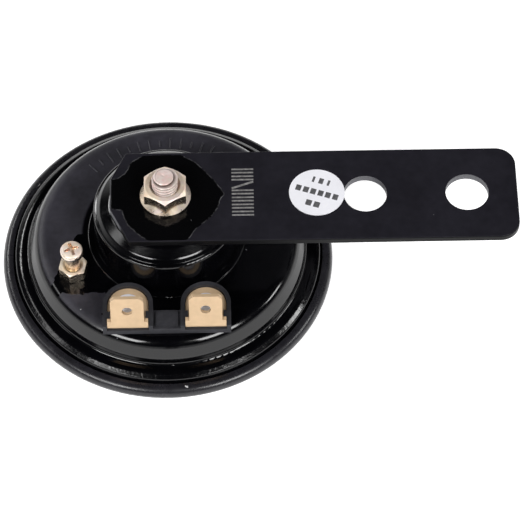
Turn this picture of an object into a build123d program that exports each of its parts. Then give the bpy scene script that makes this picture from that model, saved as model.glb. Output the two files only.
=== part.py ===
from build123d import *
import os
from math import cos, radians, sin

# Disc horn with a strap bracket. Millimetres, +Z towards the back of the horn.
# The origin is on the horn's axis, in the plane of its front face.

os.makedirs("parts", exist_ok=True)

# Fits and cuts
clearance = 0.05
stud_clearance = 0.1
hole_cut = 4.0
least_bend_r = 0.05

# Rolled rim
rim_r = 32.5
roll_r = 1.5
roll_z = 7.5
lip_r = 30.5
cover_sheet = 0.6
housing_sheet = 0.9
flange_r = rim_r - roll_r - 0.1
flange_z = roll_z + roll_r - cover_sheet

# Rear housing
plateau_z = 15.9
plateau_r = 25.33
shoulder_r = 26.95
shoulder_z = 12.4
shelf_inner_r = 27.15
shelf_inner_z = 10.65
shelf_outer_r = 28.8
shelf_outer_z = 10.5
band_r = 30.0
band_z = 9.75
seam_r = 30.25
cup_top_r = 10.7
cup_top_z = 26.5
cup_slope_r = 12.75
cup_slope_z = 25.2
cup_step_r = 13.35
cup_step_z = 24.5
cup_r = 14.05
cup_shoulder_z = 24.2
cup_foot_r = 14.15
coined_ring_r = 15.5
coined_ring_h = 0.45
plateau_under = plateau_z - housing_sheet
cup_under = cup_top_z - housing_sheet

# Front cover
cover_wall_r = 28.3
face_bead_outer_r = 26.4
face_bead_inner_r = 23.4
cap_r = 10.6
face_depth = 0.9
face_slope = 0.6
slot_count = 12
slot_width = 2.6
slot_inner_r = 12.6
slot_outer_r = 21.2
slot_cut = 3.0

# Clamped stack inside the rim
gasket_t = 0.3
gasket_inner_r = 29.0
diaphragm_t = 0.3
front_gasket_z = roll_z - roll_r + cover_sheet
diaphragm_z = front_gasket_z + gasket_t
rear_gasket_z = diaphragm_z + diaphragm_t
diaphragm_centre_z = 8.7
diaphragm_centre_r = 10.5
# Each corrugation: radius and height of its valley, then of its crest
corrugations = ((18.6, 7.9, 20.2, 8.5), (22.2, 7.6, 23.8, 8.2))
diaphragm_flat_r = 26.6

# Moving core: armature, spacer, tone disc and nut
stroke = 0.6
stem_r = 2.0
armature_r = 7.0
armature_top_z = 16.0
hub_r = 6.0
hub_h = 1.3
collar_r = 9.8
collar_top_z = 12.25
tone_disc_z = 3.2
tone_disc_t = 0.8
tone_disc_r = 20.5
tone_disc_hub_r = 7.0
tone_disc_step_r = 8.4
tone_disc_step_h = 0.6
tone_disc_dish_r = 18.6
tone_disc_dish_h = 1.4
tone_disc_top_z = tone_disc_z + tone_disc_t
spacer_r = 4.5
stem_end_z = 1.5
disc_nut_flats = 7.0
disc_nut_z = 1.7

# Pole core and coil
core_r = 5.0
core_face_z = armature_top_z + stroke
stud_r = 2.5
stud_end_z = 34.7
bobbin_bottom_z = 17.0
bobbin_top_z = cup_under - 0.1
bobbin_flange_r = 12.5
bobbin_top_flange_r = 10.4
bobbin_flange_t = 0.8
bobbin_tube_r = 5.85
winding_r = 10.2

# Bracket and nut
bracket_t = 1.5
bracket_z = cup_top_z
bracket_top_z = bracket_z + bracket_t
bracket_half_w = 10.4
bracket_end_x = 67.7
bracket_tail_x = -10.65
bracket_corner_r = 3.8
bracket_tail_cut_x = (7.74, 7.0)
bracket_tail_cut_y = (4.3, -2.8)
bracket_edge_r = 0.25
bracket_bore_r = 2.75
bracket_hole_r = 4.15
bracket_hole_x = 38.4
bracket_hole_pitch = 19.55
nut_flats = 8.0
nut_h = 4.0
nut_bevel_r = 3.8
nut_bevel_h = 0.8
nut_flange_r = 4.9
nut_flange_edge = 0.5
nut_flange_h = 1.6
nut_sink_r = 3.0
label_x = 29.1
label_y = 0.4
label_r = 5.35
label_t = 0.12

# Adjusting screw
screw_x = -18.1
screw_y = -8.95
screw_r = 1.5
screw_head_r = 2.2
screw_head_z = 22.3
screw_head_h = 1.7
recess_length = 2.7
recess_width = 0.6
recess_depth = 1.0
recess_turn = 20
lock_nut_flats = 5.0
lock_nut_h = 2.6
lock_nut_turn = 18
lock_nut_corner_r = 2.8
lock_nut_bevel = 0.3
lock_nut_sink_r = 2.0
weld_nut_h = 2.0

# Terminals
terminal_x = 7.45
terminal_y = -18.2
block_edge_y = -23.4
block_floor_t = 1.2
well_outer_r = 4.8
well_inner_r = 4.0
well_top_z = 18.6
bridge_top_z = 17.6
bridge_inner_y = -19.2
plaque_half_w = 2.2
plaque_depth = 3.2
plaque_h = 0.25
plaque_corner_r = 0.4
nub_w = 0.7
nub_length = 2.1
nub_h = 0.65
nub_inset = 0.25
nub_y = -21.0
plate_r = 3.9
plate_edge_y = -20.8
plate_t = 0.8
plate_z = plateau_z + block_floor_t
tab_w = 6.3
tab_length = 8.4
tab_lean = {"left": 12.5, "right": 15.0}
tab_bend_r = 0.85
tab_shoulder_h = 2.25
tab_corner_cut = 1.6
tab_hole_r = 1.0
tab_hole_h = 5.15
rivet_r = 1.4
rivet_head_r = 2.45
rivet_head_h = 0.9
rivet_tail_r = 2.2
rivet_tail_h = 0.8
rivet_head_edge = 0.25
insulator_t = 1.0
insulator_w = 6.4
sleeve_r = 2.4
tag_r = 2.3
tag_w = 2.2
tag_t = 0.3
tag_tip_y = -13.2

# Contact breaker, hung under the plateau beside the coil
breaker_half_w = 2.6
breaker_front_y = 3.6
breaker_back_y = 11.4
breaker_rivet_y = (5.4, 9.6)
breaker_base_t = 0.8
insulator_top_t = 0.5
leaf_t = 0.25
arm_t = 0.6
contact_t = 0.4
contact_r = 1.5
contact_y = -2.5
carrier_t = 0.8
clamp_t = 0.6
leaf_z = plateau_under - breaker_base_t - insulator_top_t - leaf_t
arm_z = leaf_z - arm_t
carrier_z = arm_z - 2 * contact_t - carrier_t
clamp_z = carrier_z - clamp_t
arm_back_y = 2.0
leaf_front_y = -0.6
arm_front_y = -6.0
tongue_half_w = 1.0
tongue_tip_x = -6.87
button_h = arm_z - collar_top_z
pad_r = 1.4
pad_h = 0.8
breaker_rivet_r = 1.0
breaker_rivet_head_r = 1.7
breaker_rivet_head_h = 0.7
live_hole_r = 1.6

# Wires
wire_r = 0.3
wire_tag_y = -13.9


def pressed_line(points, radii, thickness):
    """Draw a pressed sheet's closed section from the corners of its outer face.

    The sheet lies to the right of the line. Its other face has the same corners,
    moved along their mitres, and bends that keep the same centres.
    """
    outer = [Vector(*point) for point in points]
    normals = [(b - a).normalized().rotate(Axis.Z, -90) for a, b in zip(outer, outer[1:])]
    inner = [outer[0] + normals[0] * thickness]
    inner_radii = []
    for corner, radius, before, after in zip(outer[1:], radii, normals, normals[1:]):
        inner.append(corner + (before + after) * (thickness / (1 + before.dot(after))))
        turns_right = before.cross(after).Z < 0
        inner_radii.append(max(radius - thickness, least_bend_r) if turns_right else radius + thickness)
    inner.append(outer[-1] + normals[-1] * thickness)
    FilletPolyline(*outer, radius=radii)
    FilletPolyline(*inner, radius=inner_radii)
    Line(outer[0], inner[0])
    Line(outer[-1], inner[-1])


# ---- Pressed shells ----

# The drawn housing: stepped coil cup, plateau, shoulder, shelf, sloped band and rim flange.
with BuildPart() as rear_housing:
    with BuildSketch(Plane.XZ):
        with BuildLine():
            pressed_line(
                [
                    (stud_r + stud_clearance, cup_top_z),
                    (cup_top_r, cup_top_z),
                    (cup_slope_r, cup_slope_z),
                    (cup_step_r, cup_step_z),
                    (cup_r, cup_shoulder_z),
                    (cup_foot_r, plateau_z),
                    (plateau_r, plateau_z),
                    (shoulder_r, shoulder_z),
                    (shelf_inner_r, shelf_inner_z),
                    (shelf_outer_r, shelf_outer_z),
                    (band_r, band_z),
                    (seam_r, flange_z),
                    (flange_r, flange_z),
                ],
                [1.5, 1.0, 0.25, 0.5, 0.7, 2.6, 1.5, 0.7, 2.0, 0.5, 0.2],
                housing_sheet,
            )
        make_face()
    revolve(axis=Axis.Z)
    # Coined ring round the foot of the cup
    with BuildSketch(Plane.XY.offset(plateau_z - coined_ring_h)):
        Circle(coined_ring_r)
        Circle(cup_foot_r - coined_ring_h, mode=Mode.SUBTRACT)
    extrude(amount=2 * coined_ring_h)
    top_of_ring = rear_housing.edges().filter_by(GeomType.CIRCLE).sort_by_distance(
        (coined_ring_r, 0, plateau_z + coined_ring_h))[0]
    fillet(top_of_ring, 0.3)
    # Holes for the adjusting screw and the two terminal sleeves
    with Locations((screw_x, screw_y, plateau_z)):
        Cylinder(screw_r + clearance, hole_cut, mode=Mode.SUBTRACT)
    with Locations((-terminal_x, terminal_y, plateau_z), (terminal_x, terminal_y, plateau_z)):
        Cylinder(sleeve_r + clearance, hole_cut, mode=Mode.SUBTRACT)
rear_housing.part.label = "rear_housing"
export_step(rear_housing.part, "parts/rear_housing.step")

# The front cover: its edge is rolled round the housing flange, its face holds the sound slots.
with BuildPart() as front_cover:
    with BuildSketch(Plane.XZ):
        with BuildLine():
            pressed_line(
                [
                    (lip_r, roll_z + roll_r),
                    (rim_r, roll_z + roll_r),
                    (rim_r, roll_z - roll_r),
                    (cover_wall_r, roll_z - roll_r),
                    (face_bead_outer_r, 0),
                    (face_bead_inner_r, 0),
                    (face_bead_inner_r - face_slope, face_depth),
                    (cap_r + face_slope, face_depth),
                    (cap_r, 0),
                    (0, 0),
                ],
                [roll_r - 0.01, roll_r - 0.01, 0.8, 1.4, 0.9, 0.4, 0.4, 0.9],
                cover_sheet,
            )
        make_face()
    revolve(axis=Axis.Z)
    with BuildSketch(Plane.XY):
        with PolarLocations((slot_inner_r + slot_outer_r) / 2, slot_count):
            SlotOverall(slot_outer_r - slot_inner_r, slot_width)
    extrude(amount=slot_cut, mode=Mode.SUBTRACT)
front_cover.part.label = "front_cover"
export_step(front_cover.part, "parts/front_cover.step")


# ---- Clamped in the rim ----

with BuildPart() as front_gasket:
    with BuildSketch(Plane.XY.offset(front_gasket_z)):
        Circle(flange_r)
        Circle(gasket_inner_r, mode=Mode.SUBTRACT)
    extrude(amount=gasket_t)
front_gasket.part.label = "front_gasket"
export_step(front_gasket.part, "parts/front_gasket.step")

with BuildPart() as rear_gasket:
    with BuildSketch(Plane.XY.offset(rear_gasket_z)):
        Circle(flange_r)
        Circle(gasket_inner_r, mode=Mode.SUBTRACT)
    extrude(amount=gasket_t)
rear_gasket.part.label = "rear_gasket"
export_step(rear_gasket.part, "parts/rear_gasket.step")

# Spring steel, with two corrugations and a flat centre that carries the armature.
with BuildPart() as diaphragm:
    with BuildSketch(Plane.XZ):
        with BuildLine():
            pressed_line(
                [
                    (stem_r + clearance, diaphragm_centre_z),
                    (diaphragm_centre_r, diaphragm_centre_z),
                    corrugations[0][:2],
                    corrugations[0][2:],
                    corrugations[1][:2],
                    corrugations[1][2:],
                    (diaphragm_flat_r, rear_gasket_z),
                    (flange_r, rear_gasket_z),
                ],
                [3.0, 1.0, 1.2, 1.0, 1.2, 1.5],
                diaphragm_t,
            )
        make_face()
    revolve(axis=Axis.Z)
diaphragm.part.label = "diaphragm"
export_step(diaphragm.part, "parts/diaphragm.step")


# ---- Moving core ----

# One turning: stem through the diaphragm, hub, collar that works the breaker, and pole face.
with BuildPart() as armature:
    with BuildSketch(Plane.XZ):
        with BuildLine():
            Polyline(
                (0, stem_end_z),
                (stem_r - 0.3, stem_end_z),
                (stem_r, stem_end_z + 0.3),
                (stem_r, diaphragm_centre_z),
                (hub_r, diaphragm_centre_z),
                (hub_r, diaphragm_centre_z + hub_h),
                (collar_r, diaphragm_centre_z + hub_h),
                (collar_r, collar_top_z),
                (armature_r, collar_top_z),
                (armature_r, armature_top_z - 0.4),
                (armature_r - 0.4, armature_top_z),
                (0, armature_top_z),
                close=True,
            )
        make_face()
    revolve(axis=Axis.Z)
armature.part.label = "armature"
export_step(armature.part, "parts/armature.step")

with BuildPart() as disc_spacer:
    with BuildSketch(Plane.XY.offset(tone_disc_top_z)):
        Circle(spacer_r)
        Circle(stem_r + clearance, mode=Mode.SUBTRACT)
    extrude(amount=diaphragm_centre_z - diaphragm_t - tone_disc_top_z)
    chamfer(disc_spacer.edges().filter_by(GeomType.CIRCLE).group_by(SortBy.RADIUS)[-1], 0.3)
disc_spacer.part.label = "disc_spacer"
export_step(disc_spacer.part, "parts/disc_spacer.step")

with BuildPart() as tone_disc:
    with BuildSketch(Plane.XZ):
        with BuildLine():
            pressed_line(
                [
                    (stem_r + clearance, tone_disc_top_z),
                    (tone_disc_hub_r, tone_disc_top_z),
                    (tone_disc_step_r, tone_disc_top_z + tone_disc_step_h),
                    (tone_disc_dish_r, tone_disc_top_z + tone_disc_step_h),
                    (tone_disc_r, tone_disc_top_z + tone_disc_dish_h),
                ],
                [1.0, 1.0, 1.2],
                tone_disc_t,
            )
        make_face()
    revolve(axis=Axis.Z)
tone_disc.part.label = "tone_disc"
export_step(tone_disc.part, "parts/tone_disc.step")

with BuildPart() as disc_nut:
    with BuildSketch(Plane.XY.offset(disc_nut_z)):
        RegularPolygon(disc_nut_flats / 2, 6, major_radius=False)
        Circle(stem_r + clearance, mode=Mode.SUBTRACT)
    extrude(amount=tone_disc_z - disc_nut_z)
disc_nut.part.label = "disc_nut"
export_step(disc_nut.part, "parts/disc_nut.step")


# ---- Pole core and coil ----

# Core and threaded stud are one turning; its shoulder seats under the cup's end.
with BuildPart() as pole_core:
    with BuildSketch(Plane.XZ):
        with BuildLine():
            Polyline(
                (0, core_face_z),
                (core_r - 0.4, core_face_z),
                (core_r, core_face_z + 0.4),
                (core_r, cup_under),
                (stud_r, cup_under),
                (stud_r, stud_end_z - 0.7),
                (stud_r - 0.7, stud_end_z),
                (0, stud_end_z),
                close=True,
            )
        make_face()
    revolve(axis=Axis.Z)
pole_core.part.label = "pole_core"
export_step(pole_core.part, "parts/pole_core.step")

with BuildPart() as coil_bobbin:
    with BuildSketch(Plane.XY.offset(bobbin_bottom_z)):
        Circle(bobbin_flange_r)
    extrude(amount=bobbin_flange_t)
    with BuildSketch(Plane.XY.offset(bobbin_bottom_z)):
        Circle(bobbin_tube_r)
    extrude(amount=bobbin_top_z - bobbin_bottom_z)
    with BuildSketch(Plane.XY.offset(bobbin_top_z)):
        Circle(bobbin_top_flange_r)
    extrude(amount=-bobbin_flange_t)
    with BuildSketch(Plane.XY.offset(bobbin_bottom_z)):
        Circle(core_r + clearance)
    extrude(amount=bobbin_top_z - bobbin_bottom_z, mode=Mode.SUBTRACT)
coil_bobbin.part.label = "coil_bobbin"
export_step(coil_bobbin.part, "parts/coil_bobbin.step")

with BuildPart() as coil_winding:
    with BuildSketch(Plane.XY.offset(bobbin_bottom_z + bobbin_flange_t)):
        Circle(winding_r)
        Circle(bobbin_tube_r, mode=Mode.SUBTRACT)
    extrude(amount=bobbin_top_z - bobbin_bottom_z - 2 * bobbin_flange_t)
    fillet(coil_winding.edges().filter_by(GeomType.CIRCLE).group_by(SortBy.RADIUS)[-1], 0.6)
coil_winding.part.label = "coil_winding"
export_step(coil_winding.part, "parts/coil_winding.step")


# ---- Contact breaker ----

def breaker_strip(front_y, back_y):
    """A strip outline of the breaker's width, on the screw's line."""
    with Locations((screw_x, (front_y + back_y) / 2)):
        Rectangle(2 * breaker_half_w, back_y - front_y)


breaker_rivet_spots = [(screw_x, y) for y in breaker_rivet_y]

# Steel plate welded under the plateau; it carries the breaker's stack.
with BuildPart() as breaker_base:
    with BuildSketch(Plane.XY.offset(plateau_under - breaker_base_t)):
        breaker_strip(breaker_front_y, breaker_back_y)
    extrude(amount=breaker_base_t)
    with Locations(*[(x, y, plateau_under) for x, y in breaker_rivet_spots]):
        CounterSinkHole(breaker_rivet_r, breaker_rivet_r + 0.5, breaker_base_t, 90)
breaker_base.part.label = "breaker_base"
export_step(breaker_base.part, "parts/breaker_base.step")

with BuildPart() as upper_insulator:
    with BuildSketch(Plane.XY.offset(leaf_z + leaf_t)):
        breaker_strip(breaker_front_y, breaker_back_y)
        with Locations(*breaker_rivet_spots):
            Circle(breaker_rivet_r, mode=Mode.SUBTRACT)
    extrude(amount=insulator_top_t)
upper_insulator.part.label = "upper_insulator"
export_step(upper_insulator.part, "parts/upper_insulator.step")

# Spring leaf: clamped in the stack, it carries the arm; its tail takes the feed wire.
with BuildPart() as contact_leaf:
    with BuildSketch(Plane.XY.offset(leaf_z)):
        breaker_strip(leaf_front_y, breaker_back_y + 1.4)
        with Locations((screw_x + breaker_half_w, breaker_back_y + 0.9)):
            SlotOverall(3.0, 1.8)
        with Locations(*breaker_rivet_spots):
            Circle(live_hole_r, mode=Mode.SUBTRACT)
    extrude(amount=leaf_t)
contact_leaf.part.label = "contact_leaf"
export_step(contact_leaf.part, "parts/contact_leaf.step")

with BuildPart() as middle_insulator:
    with BuildSketch(Plane.XY.offset(carrier_z + carrier_t)):
        breaker_strip(breaker_front_y, breaker_back_y)
        with Locations(*breaker_rivet_spots):
            Circle(breaker_rivet_r, mode=Mode.SUBTRACT)
    extrude(amount=leaf_z - carrier_z - carrier_t)
middle_insulator.part.label = "middle_insulator"
export_step(middle_insulator.part, "parts/middle_insulator.step")

# Stiff arm under the leaf; its tongue reaches over the armature's collar.
with BuildPart() as contact_arm:
    with BuildSketch(Plane.XY.offset(arm_z)):
        breaker_strip(arm_front_y, arm_back_y)
        with Locations(((screw_x + tongue_tip_x) / 2, arm_front_y + tongue_half_w)):
            SlotCenterToCenter(tongue_tip_x - screw_x, 2 * tongue_half_w)
    extrude(amount=arm_t)
contact_arm.part.label = "contact_arm"
export_step(contact_arm.part, "parts/contact_arm.step")

with BuildPart() as arm_button:
    with Locations((tongue_tip_x, arm_front_y + tongue_half_w, arm_z)):
        Cylinder(tongue_half_w, button_h, align=(Align.CENTER, Align.CENTER, Align.MAX))
    chamfer(arm_button.edges().sort_by(Axis.Z)[0], 0.2)
arm_button.part.label = "arm_button"
export_step(arm_button.part, "parts/arm_button.step")

with BuildPart() as moving_contact:
    with Locations((screw_x, contact_y, arm_z)):
        Cylinder(contact_r, contact_t, align=(Align.CENTER, Align.CENTER, Align.MAX))
moving_contact.part.label = "moving_contact"
export_step(moving_contact.part, "parts/moving_contact.step")

with BuildPart() as fixed_contact:
    with Locations((screw_x, contact_y, carrier_z + carrier_t)):
        Cylinder(contact_r, contact_t, align=(Align.CENTER, Align.CENTER, Align.MIN))
fixed_contact.part.label = "fixed_contact"
export_step(fixed_contact.part, "parts/fixed_contact.step")

# Springy strip under the arm; the adjusting screw bends its free end.
with BuildPart() as contact_carrier:
    with BuildSketch(Plane.XY.offset(carrier_z)):
        breaker_strip(screw_y, breaker_back_y)
        with Locations((screw_x, screw_y)):
            Circle(breaker_half_w)
        with Locations((screw_x + breaker_half_w + 0.6, breaker_back_y - 3.2)):
            SlotOverall(3.4, 1.8)
        with Locations(*breaker_rivet_spots):
            Circle(live_hole_r, mode=Mode.SUBTRACT)
    extrude(amount=carrier_t)
contact_carrier.part.label = "contact_carrier"
export_step(contact_carrier.part, "parts/contact_carrier.step")

with BuildPart() as adjuster_pad:
    with Locations((screw_x, screw_y, carrier_z + carrier_t)):
        Cylinder(pad_r, pad_h, align=(Align.CENTER, Align.CENTER, Align.MIN))
adjuster_pad.part.label = "adjuster_pad"
export_step(adjuster_pad.part, "parts/adjuster_pad.step")

with BuildPart() as lower_insulator:
    with BuildSketch(Plane.XY.offset(clamp_z)):
        breaker_strip(breaker_front_y, breaker_back_y)
        with Locations(*breaker_rivet_spots):
            Circle(breaker_rivet_r, mode=Mode.SUBTRACT)
    extrude(amount=clamp_t)
lower_insulator.part.label = "lower_insulator"
export_step(lower_insulator.part, "parts/lower_insulator.step")

# Two rivets: domed heads below, shanks spread into the base plate's countersinks above.
with BuildPart() as breaker_rivets:
    for rivet_y in breaker_rivet_y:
        with BuildSketch(Plane((screw_x, rivet_y, 0), (1, 0, 0), (0, -1, 0))):
            with BuildLine():
                Polyline(
                    (0, plateau_under),
                    (breaker_rivet_r + 0.5, plateau_under),
                    (breaker_rivet_r, plateau_under - 0.5),
                    (breaker_rivet_r, clamp_z),
                    (breaker_rivet_head_r, clamp_z),
                    (breaker_rivet_head_r - 0.6, clamp_z - breaker_rivet_head_h),
                    (0, clamp_z - breaker_rivet_head_h),
                    close=True,
                )
            make_face()
        revolve(axis=Axis((screw_x, rivet_y, 0), (0, 0, 1)))
breaker_rivets.part.label = "breaker_rivets"
export_step(breaker_rivets.part, "parts/breaker_rivets.step")


# ---- Adjusting screw ----

with BuildPart() as weld_nut:
    with BuildSketch(Plane.XY.offset(plateau_under - weld_nut_h)):
        with Locations((screw_x, screw_y)):
            RegularPolygon(lock_nut_flats / 2, 6, major_radius=False)
            Circle(screw_r + clearance, mode=Mode.SUBTRACT)
    extrude(amount=weld_nut_h)
weld_nut.part.label = "weld_nut"
export_step(weld_nut.part, "parts/weld_nut.step")

# Pan head with a cross recess; the point rests on the carrier's pad.
with BuildPart() as adjusting_screw:
    screw_tip_z = carrier_z + carrier_t + pad_h
    with BuildSketch(Plane((screw_x, screw_y, 0), (1, 0, 0), (0, -1, 0))):
        with BuildLine():
            TangentArc(
                (0, screw_head_z + screw_head_h),
                (screw_head_r, screw_head_z + 0.5 * screw_head_h),
                tangent=(1, 0),
            )
            Polyline(
                (0, screw_head_z + screw_head_h),
                (0, screw_tip_z),
                (screw_r - 0.5, screw_tip_z),
                (screw_r, screw_tip_z + 0.5),
                (screw_r, screw_head_z),
                (screw_head_r, screw_head_z),
                (screw_head_r, screw_head_z + 0.5 * screw_head_h),
            )
        make_face()
    revolve(axis=Axis((screw_x, screw_y, 0), (0, 0, 1)))
    with Locations((screw_x, screw_y, screw_head_z + screw_head_h)):
        for turn in (recess_turn, recess_turn + 90):
            Box(recess_length, recess_width, 2 * recess_depth, rotation=(0, 0, turn), mode=Mode.SUBTRACT)
adjusting_screw.part.label = "adjusting_screw"
export_step(adjusting_screw.part, "parts/adjusting_screw.step")

with BuildPart() as lock_nut:
    lock_nut_top_z = plateau_z + lock_nut_h
    with BuildSketch(Plane.XY.offset(plateau_z)):
        with Locations((screw_x, screw_y)):
            RegularPolygon(lock_nut_flats / 2, 6, major_radius=False, rotation=lock_nut_turn)
    extrude(amount=lock_nut_h)
    # Turned corners, top and bottom, and a countersunk bore
    with BuildSketch(Plane((screw_x, screw_y, 0), (1, 0, 0), (0, -1, 0))):
        with BuildLine():
            Polyline(
                (screw_r + clearance, plateau_z),
                (lock_nut_flats / 2, plateau_z),
                (lock_nut_corner_r, plateau_z + lock_nut_bevel),
                (lock_nut_corner_r, lock_nut_top_z - lock_nut_bevel),
                (lock_nut_flats / 2, lock_nut_top_z),
                (lock_nut_sink_r, lock_nut_top_z),
                (screw_r + clearance, lock_nut_top_z + screw_r + clearance - lock_nut_sink_r),
                close=True,
            )
        make_face()
    revolve(axis=Axis((screw_x, screw_y, 0), (0, 0, 1)), mode=Mode.INTERSECT)
lock_nut.part.label = "lock_nut"
export_step(lock_nut.part, "parts/lock_nut.step")


# ---- Terminals ----

def well_outline(centre_x, radius, edge_y):
    """A D: half round towards the cup, straight sides to the edge."""
    with Locations((centre_x, terminal_y)):
        Circle(radius)
    with Locations((centre_x, (terminal_y + edge_y) / 2)):
        Rectangle(2 * radius, terminal_y - edge_y)


# The moulded block: two D-shaped wells, the bridge between them, and sleeves through the housing.
with BuildPart() as terminal_block:
    with BuildSketch(Plane.XY.offset(plateau_z)):
        well_outline(-terminal_x, well_outer_r, block_edge_y)
        well_outline(terminal_x, well_outer_r, block_edge_y)
    extrude(amount=well_top_z - plateau_z)
    with BuildSketch(Plane.XY.offset(plateau_z)):
        with Locations((0, (bridge_inner_y + block_edge_y) / 2)):
            Rectangle(2 * (terminal_x - well_inner_r), bridge_inner_y - block_edge_y)
    extrude(amount=bridge_top_z - plateau_z)
    with BuildSketch(Plane.XY.offset(plate_z)):
        well_outline(-terminal_x, well_inner_r, block_edge_y - 1)
        well_outline(terminal_x, well_inner_r, block_edge_y - 1)
    extrude(amount=hole_cut, mode=Mode.SUBTRACT)
    # Raised plain plaque on the bridge
    with BuildSketch(Plane.XY.offset(bridge_top_z)):
        with Locations((0, (bridge_inner_y + block_edge_y) / 2)):
            RectangleRounded(2 * plaque_half_w, plaque_depth, plaque_corner_r)
    extrude(amount=plaque_h)
    # Relief over the coined ring
    with Locations((0, 0, plateau_z)):
        Cylinder(coined_ring_r + clearance, 2 * (coined_ring_h + clearance), mode=Mode.SUBTRACT)
    # Nubs that hold the terminal plates down
    for well_x in (-terminal_x, terminal_x):
        for side in (-1, 1):
            with Locations((well_x + side * (well_inner_r - nub_inset), nub_y, well_top_z)):
                Box(nub_w, nub_length, nub_h, align=(Align.CENTER, Align.CENTER, Align.MAX))
    # Sleeves that insulate the rivets from the housing
    with BuildSketch(Plane.XY.offset(plateau_z)):
        with Locations((-terminal_x, terminal_y), (terminal_x, terminal_y)):
            Circle(sleeve_r)
    extrude(amount=-housing_sheet)
    with Locations((-terminal_x, terminal_y, plateau_z), (terminal_x, terminal_y, plateau_z)):
        Cylinder(rivet_r + clearance, 2 * hole_cut, mode=Mode.SUBTRACT)
terminal_block.part.label = "terminal_block"
export_step(terminal_block.part, "parts/terminal_block.step")

with BuildPart() as terminal_insulator:
    with BuildSketch(Plane.XY.offset(plateau_under - insulator_t)):
        with Locations((0, terminal_y)):
            SlotCenterToCenter(2 * terminal_x, insulator_w)
        with Locations((-terminal_x, terminal_y), (terminal_x, terminal_y)):
            Circle(rivet_r + clearance, mode=Mode.SUBTRACT)
    extrude(amount=insulator_t)
terminal_insulator.part.label = "terminal_insulator"
export_step(terminal_insulator.part, "parts/terminal_insulator.step")

tag_z = plateau_under - insulator_t - tag_t
terminal_side = {"left": -terminal_x, "right": terminal_x}

for name, centre_x in terminal_side.items():
    lean = radians(tab_lean[name])
    tab_foot = Vector(centre_x, block_edge_y, plate_z)
    tab_up = Vector(0, sin(lean), cos(lean))
    tab_tip = tab_foot + tab_up * tab_length

    # Brass terminal: the riveted D plate and the tab bent up from its outer edge.
    with BuildPart() as terminal:
        with BuildSketch(Plane.XY.offset(plate_z)):
            well_outline(centre_x, plate_r, plate_edge_y)
        extrude(amount=plate_t)
        with BuildSketch(Plane.YZ.offset(centre_x)):
            with BuildLine():
                pressed_line(
                    [(tab_tip.Y, tab_tip.Z), (tab_foot.Y, plate_z), (plate_edge_y + 1, plate_z)],
                    [tab_bend_r],
                    -plate_t,
                )
            make_face()
        extrude(amount=plate_r, both=True)
        # Shoulders: above them the tab narrows, and its tip corners are cut off
        shoulder_top = plate_z + tab_shoulder_h
        with BuildSketch(Plane.XZ.offset(-terminal_y)):
            for side in (-1, 1):
                with BuildLine():
                    Polyline(
                        (centre_x + side * tab_w / 2, shoulder_top),
                        (centre_x + side * (plate_r + 1), shoulder_top),
                        (centre_x + side * (plate_r + 1), tab_tip.Z + 1),
                        (centre_x + side * (tab_w / 2 - tab_corner_cut), tab_tip.Z + tab_corner_cut / 2),
                        (centre_x + side * tab_w / 2, tab_tip.Z - tab_corner_cut / 2),
                        close=True,
                    )
                make_face()
        extrude(amount=2 * hole_cut, mode=Mode.SUBTRACT)
        with BuildSketch(Plane(tab_foot + tab_up * tab_hole_h, (1, 0, 0), (0, -cos(lean), sin(lean)))):
            Circle(tab_hole_r)
        extrude(amount=hole_cut, both=True, mode=Mode.SUBTRACT)
        with Locations((centre_x, terminal_y, plate_z)):
            Cylinder(rivet_r + clearance, hole_cut, mode=Mode.SUBTRACT)
    terminal.part.label = f"terminal_{name}"
    export_step(terminal.part, f"parts/terminal_{name}.step")

    with BuildPart() as solder_tag:
        with BuildSketch(Plane.XY.offset(tag_z)):
            with Locations((centre_x, terminal_y)):
                Circle(tag_r)
            with Locations((centre_x, (terminal_y + tag_tip_y) / 2)):
                Rectangle(tag_w, tag_tip_y - terminal_y)
            with Locations((centre_x, terminal_y)):
                Circle(rivet_r + clearance, mode=Mode.SUBTRACT)
        extrude(amount=tag_t)
    solder_tag.part.label = f"solder_tag_{name}"
    export_step(solder_tag.part, f"parts/solder_tag_{name}.step")

    # Rivet: domed head on the plate, shank down the sleeve, clinched on the tag
    with BuildPart() as terminal_rivet:
        head_z = plate_z + plate_t
        with BuildSketch(Plane((centre_x, terminal_y, 0), (1, 0, 0), (0, -1, 0))):
            with BuildLine():
                TangentArc(
                    (0, head_z + rivet_head_h),
                    (rivet_head_r, head_z + rivet_head_edge),
                    tangent=(1, 0),
                )
                Polyline(
                    (0, head_z + rivet_head_h),
                    (0, tag_z - rivet_tail_h),
                    (rivet_tail_r - 0.6, tag_z - rivet_tail_h),
                    (rivet_tail_r, tag_z),
                    (rivet_r, tag_z),
                    (rivet_r, head_z),
                    (rivet_head_r, head_z),
                    (rivet_head_r, head_z + rivet_head_edge),
                )
            make_face()
        revolve(axis=Axis((centre_x, terminal_y, 0), (0, 0, 1)))
    terminal_rivet.part.label = f"terminal_rivet_{name}"
    export_step(terminal_rivet.part, f"parts/terminal_rivet_{name}.step")


# ---- Wires ----

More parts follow.
